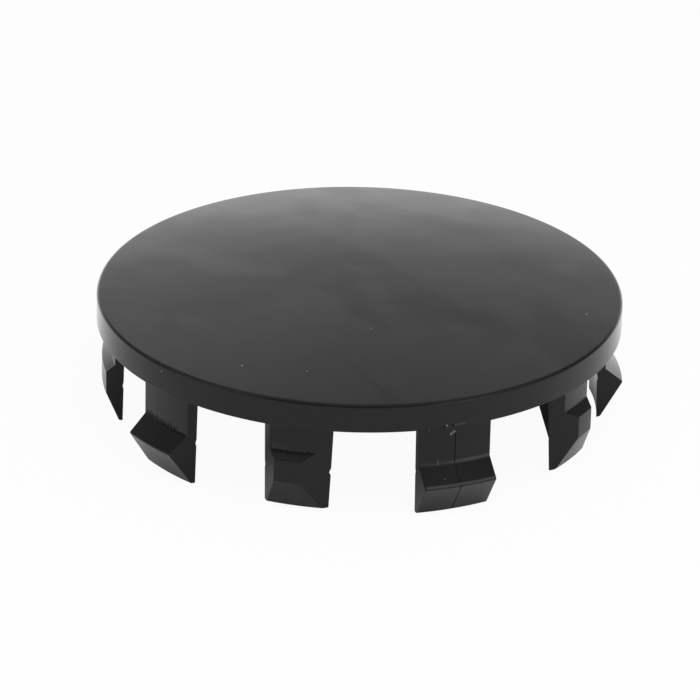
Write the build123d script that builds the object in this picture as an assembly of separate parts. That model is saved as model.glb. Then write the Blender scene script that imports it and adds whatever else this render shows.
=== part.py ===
import os
from math import asin, cos, radians, sin, sqrt

from build123d import *

# Wheel centre cap, moulded in one piece: a shallow domed disc with a short rim,
# and under it a ring of snap clips that spring into the bore of a wheel hub.
# Millimetres. The origin is on the axis, in the plane of the rim's underside,
# which seats on the wheel. +Z points out of the wheel, and -Y runs through the
# hook that the two side slides of the mould part on. Angles are turned from -Y
# towards +X.

# Disc
rim_diameter = 60.0
rim_height = 3.25
rim_top_round = 0.4
rim_foot_round = 0.2
dome_rise = 1.8
dome_wall = 1.8

# Stems of the clips, on one circle inside the rim, thinner towards their feet
rim_overhang = 1.6
root_wall = 1.1
foot_wall = 0.85
foot_edge = 0.4
foot_round = 0.25
root_round = 0.3
root_overlap = 0.6

# Seat of a spring wire, a shallow V round the inside of the clips
groove_drop = 6.2
groove_height = 0.9
groove_depth = 0.1

# Hook clips: a stem, a ledge that slopes out to the tip, and a lead-in taper
hook_stem = 5.2
hook_ledge = 1.95
hook_taper = 4.05
hook_reach = 2.05
hook_tip_round = 0.25

# Land clips: a shorter stem and ledge, a straight land, and a lead-in taper
land_stem = 3.65
land_ledge = 0.8
land_height = 2.65
land_taper = 3.5
land_reach = 1.0
land_edge_round = 0.15

# Plan of the clips, from the parting hook round to the land opposite. Each end
# face crosses the stem's outer face at the first angle and runs along the
# second: most run with the slides' pull, 90, or with the parting plane.
parting_hook = ((-8.8, 0.0), (8.5, 0.0))
front_land = ((31.9, 90.0), (42.6, 0.0))
side_hook = ((64.2, 90.0), (79.7, 79.7))
side_land = ((99.0, 108.0), (116.0, 90.0))
rear_hook = ((136.0, 180.0), (152.0, 90.0))
parting_land = ((172.0, 180.0), (188.0, 180.0))

# Web behind one end of a front land clip, a triangle hung from the dome
web_depth = 2.6
web_drop = 6.6
web_thickness = 0.8
web_lead = 2.3

rim_radius = rim_diameter / 2
stem_radius = rim_radius - rim_overhang
root_radius = stem_radius - root_wall
foot_radius = stem_radius - foot_wall
hook_length = hook_stem + hook_ledge + hook_taper
land_length = land_stem + land_ledge + land_height + land_taper

# The dome is part of a ball that meets the rim's top edge, with an even wall
dome_top = rim_height + dome_rise
dome_radius = (rim_radius**2 + dome_rise**2) / (2 * dome_rise)
dome_centre = dome_top - dome_radius
hollow_radius = dome_radius - dome_wall
hollow_edge = dome_centre + sqrt(hollow_radius**2 - root_radius**2)


def ball_arc(ball_radius, reach):
    """Arc in section, from the axis down a ball about the dome's centre."""
    tilt = asin(reach / ball_radius)
    points = []
    for angle in (0, tilt / 2, tilt):
        points.append((ball_radius * sin(angle), dome_centre + ball_radius * cos(angle)))
    return ThreePointArc(*points)


def round_corner(section, corner, radius):
    """Section with the corner at that point rounded."""
    return fillet(section.vertices().sort_by_distance((*corner, 0))[0], radius)


def disc():
    """Domed top and rim, hollow inside the clip ring."""
    crown = ball_arc(dome_radius, rim_radius)
    ceiling = ball_arc(hollow_radius, root_radius)
    side = Polyline((rim_radius, rim_height), (rim_radius, 0), (root_radius, 0), (root_radius, hollow_edge))
    middle = Line((0, dome_top - dome_wall), (0, dome_top))
    section = make_face([crown, side, ceiling, middle])
    section = round_corner(section, (rim_radius, rim_height), rim_top_round)
    section = round_corner(section, (rim_radius, 0), rim_foot_round)
    return revolve(Plane.XZ * section, Axis.Z)


def inner_radius(drop):
    """Radius of the clips' drafted inner face at a depth below the seat."""
    return root_radius + (foot_radius - root_radius) * drop / hook_length


def clip_section(front, length):
    """Section of a clip: root, given front, foot, and inner face with its groove."""
    groove_top = groove_drop - groove_height / 2
    groove_foot = groove_drop + groove_height / 2
    flange = stem_radius + rim_overhang / 2
    foot = (inner_radius(length) + foot_edge, -length)
    root = (stem_radius, 0)
    outline = [(root_radius, root_overlap), (flange, root_overlap), (flange, 0), root]
    outline += front
    outline += [
        foot,
        (inner_radius(length), -length),
        (inner_radius(groove_foot), -groove_foot),
        (inner_radius(groove_drop) + groove_depth, -groove_drop),
        (inner_radius(groove_top), -groove_top),
        (root_radius, 0),
    ]
    section = make_face(Polyline(*outline, close=True))
    section = round_corner(section, root, root_round)
    return round_corner(section, foot, foot_round)


def hook_section():
    """Section of a hook clip."""
    tip = (stem_radius + hook_reach, -hook_stem - hook_ledge)
    section = clip_section([(stem_radius, -hook_stem), tip], hook_length)
    return round_corner(section, tip, hook_tip_round)


def land_section():
    """Section of a land clip."""
    top = (stem_radius + land_reach, -land_stem - land_ledge)
    base = (stem_radius + land_reach, -land_stem - land_ledge - land_height)
    section = clip_section([(stem_radius, -land_stem), top, base], land_length)
    section = round_corner(section, top, land_edge_round)
    return round_corner(section, base, land_edge_round)


def end_plane(end, inward):
    """Plane of a clip's end face, facing into the clip: inward is 1 or -1."""
    at, along = map(radians, end)
    corner = (stem_radius * sin(at), -stem_radius * cos(at), 0)
    return Plane(origin=corner, z_dir=(inward * cos(along), inward * sin(along), 0))


def clip(section, ends):
    """Clip cut at both end faces from a turned blank, which runs on past each by the clip's own arc."""
    near, far = ends
    arc = far[0] - near[0]
    upright = Plane.XZ * section
    blank = revolve(Rot(0, 0, near[0] - arc - 90) * upright, Axis.Z, 3 * arc)
    blank = split(blank, bisect_by=end_plane(near, 1))
    return split(blank, bisect_by=end_plane(far, -1))


def both_sides(ends):
    """Plan of a clip and of its mirror image across the parting plane."""
    near, far = ends
    return [ends, ((-far[0], -far[1]), (-near[0], -near[1]))]


def web():
    """Triangular web from the dome down the back of the front land clip."""
    top = hollow_edge + root_overlap
    outline = [
        (foot_radius, top),
        (foot_radius, -web_drop),
        (inner_radius(web_drop), -web_drop),
        (root_radius - web_depth, 0),
        (root_radius - web_depth, top),
    ]
    plate = extrude(Plane.XZ * make_face(Polyline(*outline, close=True)), web_thickness / 2, both=True)
    return Rot(0, 0, front_land[0][0] - web_lead - 90) * plate


hook_plans = [parting_hook, *both_sides(side_hook), *both_sides(rear_hook)]
land_plans = [parting_land, *both_sides(front_land), *both_sides(side_land)]

cap = disc() + web()
for ends in hook_plans:
    cap += clip(hook_section(), ends)
for ends in land_plans:
    cap += clip(land_section(), ends)

os.makedirs("parts", exist_ok=True)
export_step(cap, "parts/centre_cap.step")
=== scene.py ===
from collections import namedtuple
from math import asin, atan2, cos, hypot, pi, radians, sin, sqrt, tan

import bmesh
import bpy
from mathutils import Matrix, Vector


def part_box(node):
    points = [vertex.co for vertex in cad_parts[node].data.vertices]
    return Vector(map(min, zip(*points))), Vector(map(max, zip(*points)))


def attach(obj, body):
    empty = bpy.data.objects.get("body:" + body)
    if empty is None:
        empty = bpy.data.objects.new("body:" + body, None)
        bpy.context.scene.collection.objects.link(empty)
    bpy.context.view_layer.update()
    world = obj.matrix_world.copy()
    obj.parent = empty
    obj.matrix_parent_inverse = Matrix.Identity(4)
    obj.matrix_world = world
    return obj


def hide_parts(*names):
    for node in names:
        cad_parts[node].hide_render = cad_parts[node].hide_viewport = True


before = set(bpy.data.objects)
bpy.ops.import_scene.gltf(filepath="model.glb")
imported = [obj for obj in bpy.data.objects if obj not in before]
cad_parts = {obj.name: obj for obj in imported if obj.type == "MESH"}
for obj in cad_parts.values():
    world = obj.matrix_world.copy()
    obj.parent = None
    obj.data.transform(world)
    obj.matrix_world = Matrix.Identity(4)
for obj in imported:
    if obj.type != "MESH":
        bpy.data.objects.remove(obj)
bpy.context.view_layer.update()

# Disc
# The face of the cap: a shallow dome with a short rim, in black plastic. It is
# moulded in one shot with the clips under it, and hollow inside their ring.
mm = 0.001
cap_low, cap_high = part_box("centre_cap")
rim_radius = cap_high.x
rim_height = 3.25 * mm
rim_top_round = 0.4 * mm
rim_top_steps = 8
rim_foot_round = 0.05 * mm
rim_foot_steps = 4
dome_top = cap_high.z
dome_wall = 1.8 * mm
dome_rise = dome_top - rim_height
dome_radius = (rim_radius**2 + dome_rise**2) / (2 * dome_rise)
dome_centre = dome_top - dome_radius
hollow_radius = dome_radius - dome_wall
root_radius = 27.3 * mm
dome_rings = 28
disc_steps = 288
merge_reach = 0.0005 * mm


def trace(name, points):
    """A line of edges through points (radius, height) of a section, in edit mode."""
    bpy.ops.object.select_all(action="DESELECT")
    bpy.ops.mesh.primitive_plane_add(size=mm)
    bpy.context.object.name = name
    bpy.ops.object.mode_set(mode="EDIT")
    bpy.ops.mesh.merge(type="CENTER")
    bpy.ops.transform.translate(value=(points[0][0], 0, points[0][1]))
    for here, there in zip(points, points[1:]):
        step = (there[0] - here[0], 0, there[1] - here[1])
        bpy.ops.mesh.extrude_vertices_move(TRANSFORM_OT_translate={"value": step})
    return bpy.context.object


def pick(kind, test):
    """Selects the vertices, edges or faces that pass the test, and nothing else."""
    bpy.ops.mesh.select_mode(type=kind)
    bpy.ops.mesh.select_all(action="DESELECT")
    mesh = bmesh.from_edit_mesh(bpy.context.object.data)
    parts = {"VERT": mesh.verts, "EDGE": mesh.edges, "FACE": mesh.faces}[kind]
    for part in [p for p in parts if test(p)]:
        part.select_set(True)
    bmesh.update_edit_mesh(bpy.context.object.data)


def round_corner(points, index, radius, segments):
    """Rounds one corner of a traced section, with an arc that meets both of its edges."""
    corner, back, on = (Vector(points[i % len(points)]) for i in (index, index - 1, index + 1))
    half_angle = (back - corner).angle(on - corner) / 2
    pick("VERT", lambda v: (Vector((v.co.x, v.co.z)) - corner).length < merge_reach)
    bpy.ops.mesh.bevel(offset=radius / tan(half_angle), segments=segments, affect="VERTICES")


def ball_arc(ball_radius, reach):
    """Points of a section down a ball about the dome's centre, from the axis out."""
    tilts = [asin(reach / ball_radius) * ring / dome_rings for ring in range(dome_rings + 1)]
    return [(ball_radius * sin(tilt), dome_centre + ball_radius * cos(tilt)) for tilt in tilts]


def close_mesh():
    """Merges what meets, turns the faces outwards and leaves edit mode."""
    bpy.ops.mesh.select_all(action="SELECT")
    bpy.ops.mesh.remove_doubles(threshold=merge_reach)
    bpy.ops.mesh.normals_make_consistent(inside=False)
    bpy.ops.object.mode_set(mode="OBJECT")


crown = ball_arc(dome_radius, rim_radius)
ceiling = ball_arc(hollow_radius, root_radius)
disc_outline = crown + [(rim_radius, 0), (root_radius, 0)] + ceiling[::-1]
cap = trace("centre_cap_moulding", disc_outline)
round_corner(disc_outline, dome_rings, rim_top_round, rim_top_steps)
round_corner(disc_outline, dome_rings + 1, rim_foot_round, rim_foot_steps)
bpy.ops.mesh.select_all(action="SELECT")
bpy.ops.mesh.spin(steps=disc_steps, angle=2 * pi, center=(0, 0, 0), axis=(0, 0, 1))
close_mesh()

# Clips
# Hook clips, which catch behind the edge of the wheel's bore, and land clips
# between them, which centre the cap in it. They are moulded with the disc, and
# thinner towards their feet. A shallow groove inside them seats a spring wire.
stem_radius = 28.4 * mm
foot_radius = 27.55 * mm
foot_edge = 0.4 * mm
foot_round = 0.25 * mm
root_round = 0.3 * mm
root_sink = 0.01 * mm
root_overlap = 0.6 * mm
groove_drop = 6.2 * mm
groove_height = 0.9 * mm
groove_depth = 0.1 * mm
hook_length = -cap_low.z
hook_stem = 5.2 * mm
hook_ledge = 1.95 * mm
hook_reach = 2.05 * mm
hook_ledge_round = 0.08 * mm
hook_tip_round = 0.25 * mm
land_length = 10.6 * mm
land_stem = 3.65 * mm
land_ledge = 0.8 * mm
land_height = 2.65 * mm
land_reach = 1.0 * mm
land_ledge_round = 0.1 * mm
land_round = 0.15 * mm
corner_steps = 5
clip_steps = 18
blank_arc = radians(40)


def inner_radius(drop):
    """Radius of the clips' drafted inner face at a depth below the rim."""
    return root_radius + (foot_radius - root_radius) * drop / hook_length


def blank(name, front, rounds, length):
    """A clip's section, with its front's corners rounded, spun through the blank's arc."""
    flange = stem_radius + 2 * root_round
    groove_top = groove_drop - groove_height / 2
    groove_foot = groove_drop + groove_height / 2
    outline = [(flange, root_overlap), (flange, root_sink), (stem_radius, root_sink)]
    outline += front
    outline += [
        (inner_radius(length) + foot_edge, -length),
        (inner_radius(length), -length),
        (inner_radius(groove_foot), -groove_foot),
        (inner_radius(groove_drop) + groove_depth, -groove_drop),
        (inner_radius(groove_top), -groove_top),
        (root_radius + root_sink, 0),
        (root_radius + root_overlap, root_overlap),
    ]
    piece = trace(name, outline)
    pick("VERT", lambda v: len(v.link_edges) == 1)
    bpy.ops.mesh.edge_face_add()
    bpy.ops.mesh.select_all(action="SELECT")
    bpy.ops.mesh.edge_face_add()
    for index, radius in enumerate([root_round] + rounds + [foot_round], start=2):
        round_corner(outline, index, radius, corner_steps)
    bpy.ops.mesh.select_all(action="SELECT")
    bpy.ops.mesh.spin(steps=clip_steps, angle=blank_arc, center=(0, 0, 0), axis=(0, 0, 1))
    close_mesh()
    return piece


hook_tip = -hook_stem - hook_ledge
hook_front = [(stem_radius, -hook_stem), (stem_radius + hook_reach, hook_tip)]
hook_blank = blank("hook_blank", hook_front, [hook_ledge_round, hook_tip_round], hook_length)

land_radius = stem_radius + land_reach
land_top = -land_stem - land_ledge
land_front = [(stem_radius, -land_stem), (land_radius, land_top), (land_radius, land_top - land_height)]
land_blank = blank("land_blank", land_front, [land_ledge_round, land_round, land_round], land_length)

# Each end face crosses the stems' circle at its first angle, from -Y towards
# +X, and runs along its second.
parting_hook_ends = ((-8.8, 0.0), (8.5, 0.0))
side_hook_ends = ((64.2, 90.0), (79.7, 79.7))
rear_hook_ends = ((136.0, 180.0), (152.0, 90.0))
front_land_ends = ((31.9, 90.0), (42.6, 0.0))
side_land_ends = ((99.0, 108.0), (116.0, 90.0))
parting_land_ends = ((172.0, 180.0), (188.0, 180.0))
edge_round = 0.06 * mm
edge_steps = 2
foot_corner = 0.14 * mm
foot_lift = 0.08 * mm
foot_lift_slope = 0.5


def copy_of(piece, name):
    """A copy of a piece with its own mesh, selected alone."""
    bpy.ops.object.select_all(action="DESELECT")
    piece.select_set(True)
    bpy.context.view_layer.objects.active = piece
    bpy.ops.object.duplicate()
    bpy.context.object.name = name
    return bpy.context.object


def end_turn(end, radius):
    """Angle, from -Y towards +X, at which a circle crosses the plane of a clip's end face."""
    at, along = (radians(angle) for angle in end)
    return along + asin(sin(at - along) * stem_radius / radius)


def fit_clip(blank_piece, name, near, far):
    """A copy of the blank, fitted between the planes of its end faces, with softened ends."""
    clip = copy_of(blank_piece, name)
    turns = [atan2(v.co.x, -v.co.y) for v in clip.data.vertices]
    start = min(turns)
    arc = max(turns) - start
    foot = min(v.co.z for v in clip.data.vertices)
    for vertex, turn in zip(clip.data.vertices, turns):
        radius = hypot(vertex.co.x, vertex.co.y)
        first = end_turn(near, radius)
        last = end_turn(far, radius)
        column = round((turn - start) / arc * clip_steps)
        from_end = min(column, clip_steps - column)
        lift = 0
        gap = 0
        if from_end == 0:
            # The end faces are raised at the foot, which cuts off its corners
            lift = max(foot_lift - foot_lift_slope * (vertex.co.z - foot), 0)
        else:
            # The next columns stand one foot corner in, and the rest are even
            share = (from_end - 1) / (clip_steps / 2 - 1)
            gap = foot_corner * (1 - share) / radius + (last - first) / 2 * share
        fitted = first + gap if column == from_end else last - gap
        vertex.co = (radius * sin(fitted), -radius * cos(fitted), vertex.co.z + lift)
    # Only the end faces have more than four corners
    bpy.ops.object.mode_set(mode="EDIT")
    pick("EDGE", lambda e: any(len(f.verts) > 4 for f in e.link_faces))
    bpy.ops.mesh.bevel(offset=edge_round, segments=edge_steps, affect="EDGES", clamp_overlap=False)
    close_mesh()
    return clip


def both_sides(near, far):
    """A clip's two end faces, and those of its mirror image across the parting plane."""
    return [(near, far), ((-far[0], -far[1]), (-near[0], -near[1]))]


hook_ends = [parting_hook_ends, *both_sides(*side_hook_ends), *both_sides(*rear_hook_ends)]
land_ends = [parting_land_ends, *both_sides(*front_land_ends), *both_sides(*side_land_ends)]
hooks = [fit_clip(hook_blank, f"hook_{n}", *ends) for n, ends in enumerate(hook_ends)]
lands = [fit_clip(land_blank, f"land_{n}", *ends) for n, ends in enumerate(land_ends)]
for spent in (hook_blank, land_blank):
    bpy.data.meshes.remove(spent.data)

# Parting line
# A fine seam down the front of one hook, where the two side slides of the
# mould meet. It is moulded into the hook as a shallow groove.
parting_hook = hooks[0]
seam_place = -0.18 * mm
seam_top = -1.45 * mm
seam_foot = -hook_stem - hook_ledge_round
seam_tip = hook_tip + hook_tip_round / 2
seam_width = 0.09 * mm
seam_depth = 0.12 * mm
seam_lines = (seam_place - seam_width / 2, seam_place, seam_place + seam_width / 2)


def on_seam(vertex):
    """True along the middle of the seam: down the stem, and from the hook's tip to its foot."""
    front = hypot(vertex.co.x, vertex.co.y) > inner_radius(-vertex.co.z) + foot_edge / 2
    on_stem = seam_foot < vertex.co.z < seam_top - merge_reach
    in_line = abs(vertex.co.x - seam_place) < merge_reach
    return front and in_line and (on_stem or vertex.co.z < seam_tip)


bpy.ops.object.select_all(action="DESELECT")
parting_hook.select_set(True)
bpy.context.view_layer.objects.active = parting_hook
bpy.ops.object.mode_set(mode="EDIT")
for height in (seam_top, seam_top - seam_width):
    bpy.ops.mesh.select_all(action="SELECT")
    bpy.ops.mesh.bisect(plane_co=(0, 0, height), plane_no=(0, 0, 1), threshold=merge_reach)
for line in seam_lines:
    bpy.ops.mesh.select_all(action="SELECT")
    bpy.ops.mesh.bisect(plane_co=(line, 0, 0), plane_no=(1, 0, 0), threshold=merge_reach)
pick("VERT", on_seam)
bpy.ops.transform.translate(value=(0, seam_depth, 0))
close_mesh()

# Ribs and flash
# Short ribs in the corner above two ledges, where the mould's slides are filed,
# and nibs of flash and small pits, most of them near the parting line. All of
# them are moulded in the black plastic.

# Turns are degrees from -Y towards +X. Rib and nib have a radius of 1 mm, so
# that sizes and rib heights are millimetres. The plastic takes pale and dull; a
# row's pale is a painted highlight on its ribs' crests.
Row = namedtuple("Row", "clip foot number turns heights pale dull")
Mark = namedtuple("Mark", "base tool turn radius height size pale")
rib_thickness = 0.075
rib_shortest = 0.8
rib_step = 0.1
rib_sides = 8
rib_taper = 3
rib_sink = 0.1 * mm
nib_sides = 12
nib_rings = 8
nib_sink = 0.015 * mm
bpy.ops.object.select_all(action="DESELECT")
bpy.ops.mesh.primitive_cone_add(vertices=rib_sides, radius1=mm, radius2=mm / rib_taper, depth=mm)
rib = bpy.context.object
bpy.ops.object.mode_set(mode="EDIT")
bpy.ops.mesh.select_all(action="SELECT")
bpy.ops.transform.translate(value=(0, 0, mm / 2))
bpy.ops.object.mode_set(mode="OBJECT")
bpy.ops.object.select_all(action="DESELECT")
bpy.ops.mesh.primitive_uv_sphere_add(segments=nib_sides, ring_count=nib_rings, radius=mm)
nib = bpy.context.object


def set_on(piece, name, turn, radius, height, size):
    """A copy of a small piece at its size, set on the moulding with its -Y side outwards."""
    copy = copy_of(piece, name)
    copy.scale = size
    copy.rotation_euler.z = radians(turn)
    copy.location = (radius * sin(radians(turn)), -radius * cos(radians(turn)), height)
    bpy.ops.object.transform_apply()
    return copy


def join(pieces):
    """Makes separate pieces one object, without welding them."""
    bpy.ops.object.select_all(action="DESELECT")
    for piece in pieces:
        piece.select_set(True)
    bpy.context.view_layer.objects.active = pieces[0]
    bpy.ops.object.join()
    return pieces[0]


def weld(base, tool, operation="UNION"):
    """Makes the tool's solid one with the base, or cuts it out of it."""
    bpy.ops.object.select_all(action="DESELECT")
    base.select_set(True)
    bpy.context.view_layer.objects.active = base
    meeting = base.modifiers.new("meeting", "BOOLEAN")
    meeting.operation = operation
    meeting.solver = "EXACT"
    meeting.object = tool
    bpy.ops.object.modifier_apply(modifier=meeting.name)
    bpy.data.meshes.remove(tool.data)


def weld_ribs(row):
    """Welds a row of uneven ribs to a clip's stem, from its first turn and height to its last."""
    ribs = []
    for n in range(row.number):
        share = n / (row.number - 1)
        turn = row.turns[0] + (row.turns[1] - row.turns[0]) * share
        height = row.heights[0] + (row.heights[1] - row.heights[0]) * share
        # Five lengths, in a mixed order
        uneven = rib_shortest + rib_step * (n * 7 % 5)
        size = (rib_thickness, rib_thickness, height * uneven)
        ribs.append(set_on(rib, f"rib_{n}", turn, stem_radius, row.foot, size))
    weld(row.clip, join(ribs))


side_hook = hooks[2]
front_land = lands[2]
hook_corner = -hook_stem - rib_sink
land_corner = -land_stem - rib_sink
# The pale share of each row is a painted highlight on its ribs' crests
rib_rows = [
    Row(side_hook, hook_corner, 12, (-79.0, -68.0), (0.8, 0.65), 0.03, 1.0),
    Row(front_land, land_corner, 13, (-41.8, -34.4), (1.05, 0.5), 0.06, 0.3),
]
for row in rib_rows:
    weld_ribs(row)

stem_nib = stem_radius - nib_sink
rim_nib = rim_radius - nib_sink
flash_marks = [
    Mark(parting_hook, nib, -0.85, stem_nib, -1.35 * mm, (0.23, 0.2, 0.23), 0.7),
    Mark(parting_hook, nib, -1.45, stem_nib, -1.58 * mm, (0.18, 0.14, 0.18), 0.7),
    Mark(parting_hook, nib, -3.5, 29.66 * mm, -6.42 * mm, (0.14, 0.08, 0.08), 0.12),
    Mark(parting_hook, rib, -4.4, stem_radius, hook_corner, (0.075, 0.075, 0.85), 0.25),
    Mark(parting_hook, rib, -6.7, stem_radius, -0.55 * mm, (0.07, 0.07, 0.5), 0.2),
    Mark(front_land, nib, -36.1, 28.41 * mm, -9.43 * mm, (0.14, 0.1, 0.18), 0.1),
    Mark(cap, nib, -3.7, rim_nib, 0.3 * mm, (0.12, 0.05, 0.12), 0.4),
    Mark(cap, nib, -69.3, rim_nib, 2.42 * mm, (0.12, 0.06, 0.12), 0.5),
]
for n, mark in enumerate(flash_marks):
    flash = set_on(mark.tool, f"flash_{n}", mark.turn, mark.radius, mark.height, mark.size)
    weld(mark.base, flash)

pit_height = 0.22 * mm
pits = [(-4.4, (0.22, 0.15, 0.14)), (-2.4, (0.17, 0.15, 0.14))]
for turn, size in pits:
    weld(cap, set_on(nib, "pit", turn, rim_radius + nib_sink, pit_height, size), "DIFFERENCE")
for spent in (rib, nib):
    bpy.data.meshes.remove(spent.data)

# Web
# A small triangular web that hangs from the dome behind one front land clip.
# It is moulded with them, and stops the ends of the spring wire.
web_depth = 2.6 * mm
web_drop = 6.6 * mm
web_thickness = 0.8 * mm
web_turn = radians(29.6)
web_top = dome_centre + sqrt(hollow_radius**2 - root_radius**2) + root_overlap
web_outline = [
    (foot_radius, web_top),
    (foot_radius, -web_drop),
    (inner_radius(web_drop), -web_drop),
    (root_radius - web_depth, 0),
    (root_radius - web_depth, web_top),
]
web = trace("web", web_outline)
pick("VERT", lambda v: len(v.link_edges) == 1)
bpy.ops.mesh.edge_face_add()
bpy.ops.mesh.select_all(action="SELECT")
bpy.ops.mesh.edge_face_add()
bpy.ops.transform.translate(value=(0, -web_thickness / 2, 0))
bpy.ops.mesh.extrude_region_move(TRANSFORM_OT_translate={"value": (0, web_thickness, 0)})
close_mesh()
web.rotation_euler.z = web_turn - pi / 2
bpy.ops.object.transform_apply()
weld(lands[1], web)

# Whole moulding
# Disc, clips and web leave the mould as one piece of plastic, so their meshes
# are welded into one solid, with even shading over its flat and round faces.
smooth_angle = radians(32)
weld(cap, join(hooks + lands))
bpy.ops.object.mode_set(mode="EDIT")
close_mesh()
bpy.ops.object.shade_smooth_by_angle(angle=smooth_angle)
even = cap.modifiers.new("even_normals", "WEIGHTED_NORMAL")
even.keep_sharp = True
bpy.ops.object.modifier_apply(modifier=even.name)

# Black plastic
# Satin black, as moulded. The dome is a little wavy and smudged, and a few
# specks of dust lie on it. The clips carry fine drag lines from the slides, and
# the ribs stand in dull corners. Painted highlights lie along the front hook's
# ledge root and tip, along the rim's foot over it, and on the ribs' crests.
plastic_black = (0.008, 0.008, 0.008, 1)
plastic_haze = (0.013, 0.013, 0.014, 1)
# Pale is mixed in for the dust, the flash spots and the painted highlights
plastic_pale = (0.5, 0.5, 0.49, 1)
plastic_ior = 1.3
plastic_roughness = 0.15
skin_ior = 1.2
skin_roughness = 0.2
skin_weight = 0.8
dust_size = 0.15 * mm
dust = [
    (0.4, 21.45 * mm, -15.25 * mm),
    (0.35, -20.21 * mm, -14.9 * mm),
    (0.2, -14.1 * mm, -18.91 * mm),
    (0.15, -3.87 * mm, -12.6 * mm),
]


class Value:
    """An output of a node, with the operators that the maths on it needs."""

    def __init__(self, socket):
        self.socket = socket

    def feed(self, socket):
        """Links this value to an input."""
        self.socket.id_data.links.new(self.socket, socket)

    def out(self, name):
        """Another output of the same node."""
        return Value(self.socket.node.outputs[name])

    def node(self, kind, settings, inputs, output=0):
        """Any other node of the same tree: its settings first, then its inputs, as values or links."""
        made = self.socket.id_data.nodes.new(kind)
        for name, setting in settings.items():
            setattr(made, name, setting)
        for name, value in inputs.items():
            if isinstance(value, Value):
                value.feed(made.inputs[name])
            else:
                made.inputs[name].default_value = value
        return Value(made.outputs[output])

    def maths(self, operation, first, second=0.0):
        """A Math node's result, from values or numbers."""
        return self.node("ShaderNodeMath", {"operation": operation}, {0: first, 1: second})

    def __add__(self, other):
        return self.maths("ADD", self, other)

    def __sub__(self, other):
        return self.maths("SUBTRACT", self, other)

    def __rsub__(self, other):
        return self.maths("SUBTRACT", other, self)

    def __mul__(self, other):
        return self.maths("MULTIPLY", self, other)

    def __abs__(self):
        return self.maths("ABSOLUTE", self)

    __radd__ = __add__
    __rmul__ = __mul__

    def larger(self, other):
        """The larger of two values."""
        return self.maths("MAXIMUM", self, other)

    def smooth(self, low, high):
        """From 0 at the low value to 1 at the high one, eased at both ends."""
        inputs = {"Value": self, "From Min": low, "From Max": high}
        return self.node("ShaderNodeMapRange", {"interpolation_type": "SMOOTHSTEP"}, inputs)

    def vector(self, operation, other, output="Vector"):
        """A Vector Math node's result, from this vector and another one."""
        inputs = {0: self, 1: other}
        return self.node("ShaderNodeVectorMath", {"operation": operation}, inputs, output)

    def noise(self, scale, detail=1.0, swirl=0.0):
        """Soft noise over this vector, about 0.5."""
        inputs = {"Vector": self, "Scale": scale, "Detail": detail, "Distortion": swirl}
        return self.node("ShaderNodeTexNoise", {}, inputs, "Fac")


plastic = bpy.data.materials.new("black_plastic")
plastic.use_nodes = True
tree = plastic.node_tree
shader = tree.nodes["Principled BSDF"]
place = Value(tree.nodes.new("ShaderNodeTexCoord").outputs["Object"])
right = place.node("ShaderNodeSeparateXYZ", {}, {0: place}, "X")
back = right.out("Y")
up = right.out("Z")

# Painted highlights on the front hook, along its ledge's root and its tip; the one along the root is
# brighter towards the right
hook_highlight_pale = 0.08
hook_back_fade = (-27.2 * mm, -27.0 * mm)
hook_side_fade = (4.1 * mm, 4.3 * mm)
ledge_highlight_height = -5.1 * mm
ledge_highlight_fade = (0.08 * mm, 0.3 * mm)
ledge_highlight_along = (-3 * mm, 2 * mm)
ledge_highlight_least = 0.35
tip_highlight_height = -7.0 * mm
tip_highlight_fade = (0.04 * mm, 0.16 * mm)
on_front_hook = (1 - back.smooth(*hook_back_fade)) * (1 - abs(right).smooth(*hook_side_fade))
ledge_highlight = 1 - abs(up - ledge_highlight_height).smooth(*ledge_highlight_fade)
ledge_highlight = ledge_highlight * (ledge_highlight_least + (1 - ledge_highlight_least) * right.smooth(*ledge_highlight_along))
tip_highlight = 1 - abs(up - tip_highlight_height).smooth(*tip_highlight_fade)
pale = hook_highlight_pale * on_front_hook * ledge_highlight.larger(tip_highlight)

# Broken painted highlight along the rim's foot, over the front hook
rim_highlight_pale = 0.15
rim_highlight_height = 0.3 * mm
rim_highlight_fade = (0.03 * mm, 0.13 * mm)
rim_highlight_back_fade = (-29.6 * mm, -29.4 * mm)
rim_highlight_start = (-1.1 * mm, -0.8 * mm)
rim_highlight_end = (-0.2 * mm, 1.6 * mm)
rim_highlight_grain = 1500.0
rim_highlight_breaks = (0.4, 0.7)
rim_highlight = 1 - abs(up - rim_highlight_height).smooth(*rim_highlight_fade)
rim_highlight = rim_highlight * (1 - back.smooth(*rim_highlight_back_fade))
rim_highlight = rim_highlight * right.smooth(*rim_highlight_start) * (1 - right.smooth(*rim_highlight_end))
rim_highlight = rim_highlight * place.noise(rim_highlight_grain).smooth(*rim_highlight_breaks)
pale = pale.larger(rim_highlight_pale * rim_highlight)

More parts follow.
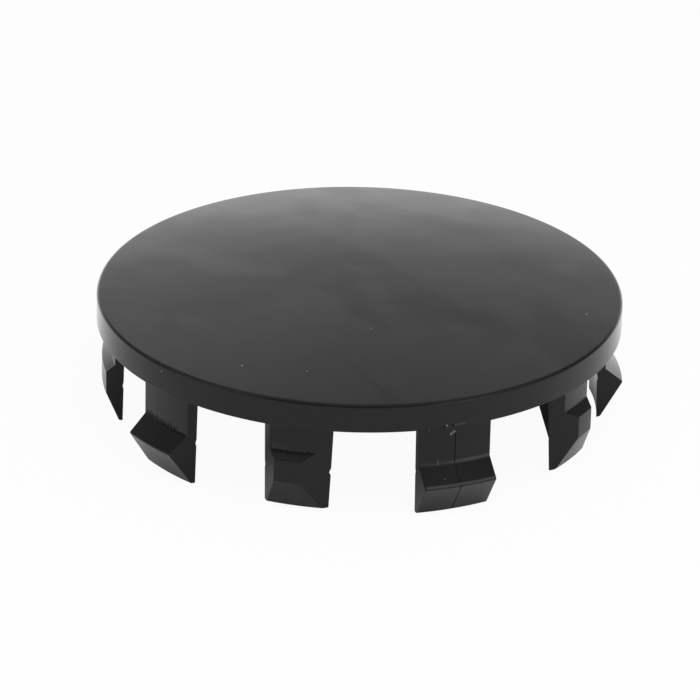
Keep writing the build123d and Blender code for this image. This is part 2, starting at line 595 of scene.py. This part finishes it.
# Painted highlights on the crests of the ribs, and the dull gaps and corner that
# they stand in. Places along a row are shares of its length, and heights are millimetres.
row_start_fade = (-0.05, 0.0)
row_end_fade = (1.0, 1.05)
rib_foot_fade = (0.05, 0.15)
rib_tip_fade = 0.2
rib_crest = (-0.2, 0.9)
rib_gap = (-0.5, 0.3)
corner_height = 0.1
corner_fade = (0.05, 0.2)
corner_start = (0.3, 0.5)
corner_end = (1.25, 1.3)
turn_about = right.maths("ARCTAN2", right, 0 - back)
dull_rows = []
for row in rib_rows:
    first, last = (radians(angle) for angle in row.turns)
    tallest, lowest = row.heights
    along = (turn_about - first) * (1 / (last - first))
    above = (up - row.foot) * (1 / mm)
    to_tip = above + (tallest - lowest) * along
    in_row = along.smooth(*row_start_fade) * (1 - along.smooth(*row_end_fade))
    in_row = in_row * above.smooth(*rib_foot_fade) * (1 - to_tip.smooth(tallest - rib_tip_fade, tallest))
    crests = along.maths("COSINE", along * (2 * pi * (row.number - 1)))
    pale = pale.larger(row.pale * in_row * crests.smooth(*rib_crest))
    in_corner = 1 - abs(above - corner_height).smooth(*corner_fade)
    in_corner = in_corner * along.smooth(*corner_start) * (1 - along.smooth(*corner_end))
    in_gaps = in_row * (1 - crests.smooth(*rib_gap))
    dull_rows.append(row.dull * in_corner.larger(in_gaps))
dull = dull_rows[0].larger(dull_rows[1])

# Pale spots centred on the flash marks, and specks of dust on the dome
spot_fade = (0.6, 1.2)


def with_spot(share, spot_share, centre, half_size):
    """A pale share with a soft-edged spot added to it."""
    gap = place.vector("SUBTRACT", centre).vector("DIVIDE", half_size)
    reach = gap.node("ShaderNodeVectorMath", {"operation": "LENGTH"}, {0: gap}, "Value")
    return share.larger(spot_share - spot_share * reach.smooth(*spot_fade))


for mark in flash_marks:
    angle = radians(mark.turn)
    centre = (mark.radius * sin(angle), -mark.radius * cos(angle), mark.height)
    width = max(mark.size[:2]) * mm
    pale = with_spot(pale, mark.pale, centre, (width, width, mark.size[2] * mm))
for dust_pale, east, north in dust:
    height = dome_centre + sqrt(dome_radius**2 - east**2 - north**2)
    pale = with_spot(pale, dust_pale, (east, north, height), (dust_size, dust_size, dust_size))

# Smudges on the dome, which lie across it in long clouds
cloud_turn = radians(73)
cloud_stretch = (0.5, 1, 1)
cloud_scale = 120.0
cloud_detail = 6.0
cloud_swirl = 0.5
cloud_roughness = 0.1
dome_fade = (3.0 * mm, 3.3 * mm)
dome_skin = 0.05
haze_fade = (0.45, 0.56)
haze_skin = 0.15
pale_roughness = 0.3
dull_roughness = 0.5
turned = {"Vector": place, "Angle": cloud_turn}
streaks = place.node("ShaderNodeVectorRotate", {"rotation_type": "Z_AXIS"}, turned)
cloud = streaks.vector("MULTIPLY", cloud_stretch).noise(cloud_scale, cloud_detail, cloud_swirl)
on_dome = up.smooth(*dome_fade)
haze = on_dome * cloud.smooth(*haze_fade)
colours = {"data_type": "RGBA"}
colour = haze.node("ShaderNodeMix", colours, {0: haze, 6: plastic_black, 7: plastic_haze}, 2)
colour = pale.node("ShaderNodeMix", colours, {0: pale, 6: colour, 7: plastic_pale}, 2)
colour.feed(shader.inputs["Base Color"])
roughness = plastic_roughness + cloud_roughness * cloud + pale_roughness * pale + dull_roughness * dull
roughness.feed(shader.inputs["Roughness"])
skin = skin_weight + dome_skin * on_dome + haze_skin * haze - skin_weight * dull
skin.feed(shader.inputs["Coat Weight"])
shader.inputs["Coat IOR"].default_value = skin_ior
shader.inputs["Coat Roughness"].default_value = skin_roughness
shader.inputs["IOR"].default_value = plastic_ior

# Relief: slow waves all over, drag lines down the clips, and a fine grain
wave_scale = 110.0
wave_depth = 0.12 * mm
drag_scale = 5000.0
drag_stretch = (1, 1, 0.04)
drag_depth = 0.0016 * mm
drag_fade = (-0.3 * mm, 0.0)
grain_scale = 4000.0
grain_depth = 0.0006 * mm
drag = place.vector("MULTIPLY", drag_stretch).noise(drag_scale) * (1 - up.smooth(*drag_fade))
relief = wave_depth * place.noise(wave_scale) + drag_depth * drag
relief = relief + grain_depth * place.noise(grain_scale)
bump = relief.node("ShaderNodeBump", {}, {"Strength": 1.0, "Distance": 1.0, "Height": relief})
bump.feed(shader.inputs["Normal"])

cap.data.materials.clear()
cap.data.materials.append(plastic)
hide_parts("centre_cap")
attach(cap, "root")

# Floor
# A plain white table under the cap. The camera sees it white, with a faint
# shadow. In the plastic it shows much as it is lit, darker under the cap, and
# turns white behind it.
floor_size = 2.4
floor_gap = 0.01 * mm
floor_colour = (0.9, 0.9, 0.9, 1)
floor_roughness = 0.9
floor_white = 0.95
floor_glow = 0.13
back_glow = 0.87
back_fade = (0.0, 25 * mm)
view_turn = radians(-22.92)
away = (-sin(view_turn), cos(view_turn), 0)
bpy.ops.object.select_all(action="DESELECT")
bpy.ops.mesh.primitive_plane_add(size=floor_size)
floor = bpy.context.object
floor.name = "floor"
floor.location.z = cap_low.z - floor_gap
bpy.ops.object.transform_apply()
table = bpy.data.materials.new("white_table")
table.use_nodes = True
tree = table.node_tree
matt = tree.nodes["Principled BSDF"]
matt.inputs["Base Color"].default_value = floor_colour
matt.inputs["Roughness"].default_value = floor_roughness
seen = Value(tree.nodes.new("ShaderNodeLightPath").outputs["Is Camera Ray"])
mirrored = seen.out("Is Glossy Ray").larger(seen.out("Is Transmission Ray"))
ground = Value(tree.nodes.new("ShaderNodeTexCoord").outputs["Object"])
behind = ground.vector("DOT_PRODUCT", away, "Value").smooth(*back_fade)
glow = (floor_white * seen).larger((floor_glow + back_glow * behind) * mirrored)
white = glow.node("ShaderNodeEmission", {}, {"Color": (1, 1, 1, 1), "Strength": 1.0})
top = glow.node("ShaderNodeMixShader", {}, {0: glow, 1: Value(matt.outputs["BSDF"]), 2: white})
top.feed(tree.nodes["Material Output"].inputs["Surface"])
floor.data.materials.append(table)

# Light
# A white tent round the table, brightest low down at the back, darker overhead
# and to both sides, with a hole for the camera and a bright patch low at the
# front right. One soft lamp over the table lights it and shows in no reflection.
view_height = radians(24.943)
towards = (sin(view_turn) * cos(view_height), -cos(view_turn) * cos(view_height), sin(view_height))
sideways = (cos(view_turn), sin(view_turn), 0)
tent_back = 0.55
tent_side = 0.75
side_fade = (0.25, 0.75)
side_depth_fade = (-0.3, 0.2)
side_lift = 0.4
side_lift_fade = (0.3, 0.55)
tent_roof = 0.27
roof_fade = (0.4, 1.0)
roof_depth_fade = (-0.6, 0.3)
tent_left = 0.3
left_fade = (-0.01, 0.11)
tent_fold = 0.1
fold_start = (0.0, 0.05)
fold_end = (0.07, 0.1)
tent_low = 0.72
low_fade = (0.16, 0.36)
low_depth_fade = (0.5, 0.85)
tent_hole = 0.15
hole_fade = (0.55, 0.9)
patch_strength = 1.4
patch_turn = radians(21.0)
patch_rise = 0.1
patch_fade = (0.93, 0.99)
to_patch = Vector((sin(patch_turn), -cos(patch_turn), patch_rise)).normalized()
world = bpy.data.worlds.new("tent")
bpy.context.scene.world = world
world.use_nodes = True
tree = world.node_tree
way = Value(tree.nodes.new("ShaderNodeTexCoord").outputs["Generated"])


def part_along(direction):
    """How far a way from the object runs along a direction."""
    return way.vector("DOT_PRODUCT", direction, "Value")


rise = part_along((0, 0, 1))
side = part_along(sideways)
far = part_along(away)
dark_side = tent_side * abs(side).smooth(*side_fade) * far.smooth(*side_depth_fade)
dark_side = dark_side * (1 - side_lift * rise.smooth(*side_lift_fade))
tent = tent_back - tent_back * dark_side
tent = tent - tent_roof * rise.smooth(*roof_fade) * far.smooth(*roof_depth_fade)
tent = tent * (1 + tent_left * (0 - side).smooth(*left_fade) - tent_fold * side.smooth(*fold_start))
tent = tent * (1 + tent_fold * side.smooth(*fold_end))
tent = tent + tent_low * (1 - rise.smooth(*low_fade)) * far.smooth(*low_depth_fade)
hole = part_along(towards).smooth(*hole_fade)
strength = tent * (1 - hole) + tent_hole * hole
strength = strength + patch_strength * part_along(to_patch).smooth(*patch_fade)
background = tree.nodes["Background"]
background.inputs["Color"].default_value = (1, 1, 1, 1)
strength.feed(background.inputs["Strength"])

lamp_size = 0.3
lamp_turn = radians(-3.0)
lamp_reach = 0.2
lamp_height = 0.32
lamp_watts = 0.95
lamp = bpy.data.objects.new("roof_lamp", bpy.data.lights.new("roof_lamp", "AREA"))
bpy.context.scene.collection.objects.link(lamp)
lamp.data.size = lamp_size
lamp.data.energy = lamp_watts
lamp.location = (lamp_reach * sin(lamp_turn), -lamp_reach * cos(lamp_turn), lamp_height)
lamp.visible_camera = False
lamp.visible_glossy = False

# Camera
# A long lens, a little above the cap and to the left of the parting hook, and
# rolled slightly, as the photograph was taken. The focal length and the cap's
# place off the middle of the picture are in pixels.
view_roll = radians(1.338)
view_distance = 600 * mm
image_width = 700
focal_pixels = 5245.2
axis_right = 9.24
axis_up = 33.1
sensor = 36
camera = bpy.data.objects.new("camera", bpy.data.cameras.new("camera"))
bpy.context.scene.collection.objects.link(camera)
camera.data.sensor_width = sensor
camera.data.lens = sensor * focal_pixels / image_width
camera.data.clip_start = 10 * mm
stand = Matrix.Rotation(view_turn, 4, "Z") @ Matrix.Rotation(pi / 2 - view_height, 4, "X")
stand = stand @ Matrix.Rotation(view_roll, 4, "Z")
aim = Matrix.Rotation(-axis_up / focal_pixels, 4, "X")
aim = aim @ Matrix.Rotation(axis_right / focal_pixels, 4, "Y")
camera.matrix_world = Matrix.Translation(view_distance * Vector(towards)) @ stand @ aim
bpy.context.scene.camera = camera
bpy.context.scene.view_settings.view_transform = "Standard"
